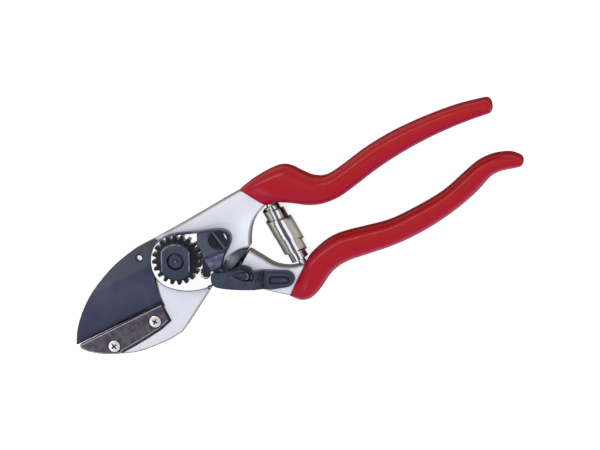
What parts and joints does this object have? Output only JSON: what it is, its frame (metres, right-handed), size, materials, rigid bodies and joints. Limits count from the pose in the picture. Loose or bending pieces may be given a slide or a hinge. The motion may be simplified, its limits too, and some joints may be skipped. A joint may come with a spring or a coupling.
{
  "type": "anvil pruning shears",
  "caption": "One-hand anvil pruning shears with a toothed pivot nut, sliding catch, volute spring and dipped grips.",
  "frame": {"origin": "centre of the pivot bolt head's flat back face, on the plane that the shears lie on", "axes": "+X towards the handle ends, +Y towards the upper handle, +Z along the pivot axis, out of the front face with the nut"},
  "size_m": [0.216, 0.0591, 0.023],
  "materials": {
    "forged_aluminium": "bead-blasted, with machined pivot face",
    "red_sleeve": "dipped, glossy",
    "coated_blade": "dark low-friction coating",
    "anvil_steel": "mottled, hardened",
    "bright_steel": "zinc bright",
    "black_steel": "blackened",
    "spring_steel": "polished strip",
    "catch_plastic": "satin",
    "black_rubber": "dull",
    "bush_bronze": "turned"
  },
  "bodies": {
    "fixed_arm": {"upper_handle": "forged_aluminium", "upper_grip": "red_sleeve", "anvil_plate": "anvil_steel", "anvil_screw_front": "bright_steel", "anvil_screw_rear": "bright_steel", "pivot_bush": "bush_bronze", "upper_spring_pin": "bright_steel", "volute_spring": "spring_steel"},
    "moving_arm": {"lower_handle": "forged_aluminium", "lower_grip": "red_sleeve", "blade": "coated_blade", "blade_dowel": "bright_steel", "pivot_bolt": "black_steel", "adjusting_nut": "black_steel", "lock_segment": "black_steel", "segment_screw": "black_steel", "bumper": "black_rubber", "lower_spring_pin": "bright_steel", "catch_screw": "black_steel"},
    "catch": {"catch_slide": "catch_plastic", "catch_thumb_pad": "black_rubber", "catch_lock_pin": "bright_steel"}
  },
  "joints": [
    {"name": "handle_pivot", "type": "hinge", "parent": "fixed_arm", "child": "moving_arm", "pos_m": [0, 0, 0], "axis": [0, 0, -1], "range_deg": [0, 20], "deforming": ["volute_spring"]},
    {"name": "catch_slide", "type": "slide", "parent": "moving_arm", "child": "catch", "axis": [-0.891, 0.454, 0], "range_m": [0, 0.002]}
  ]
}
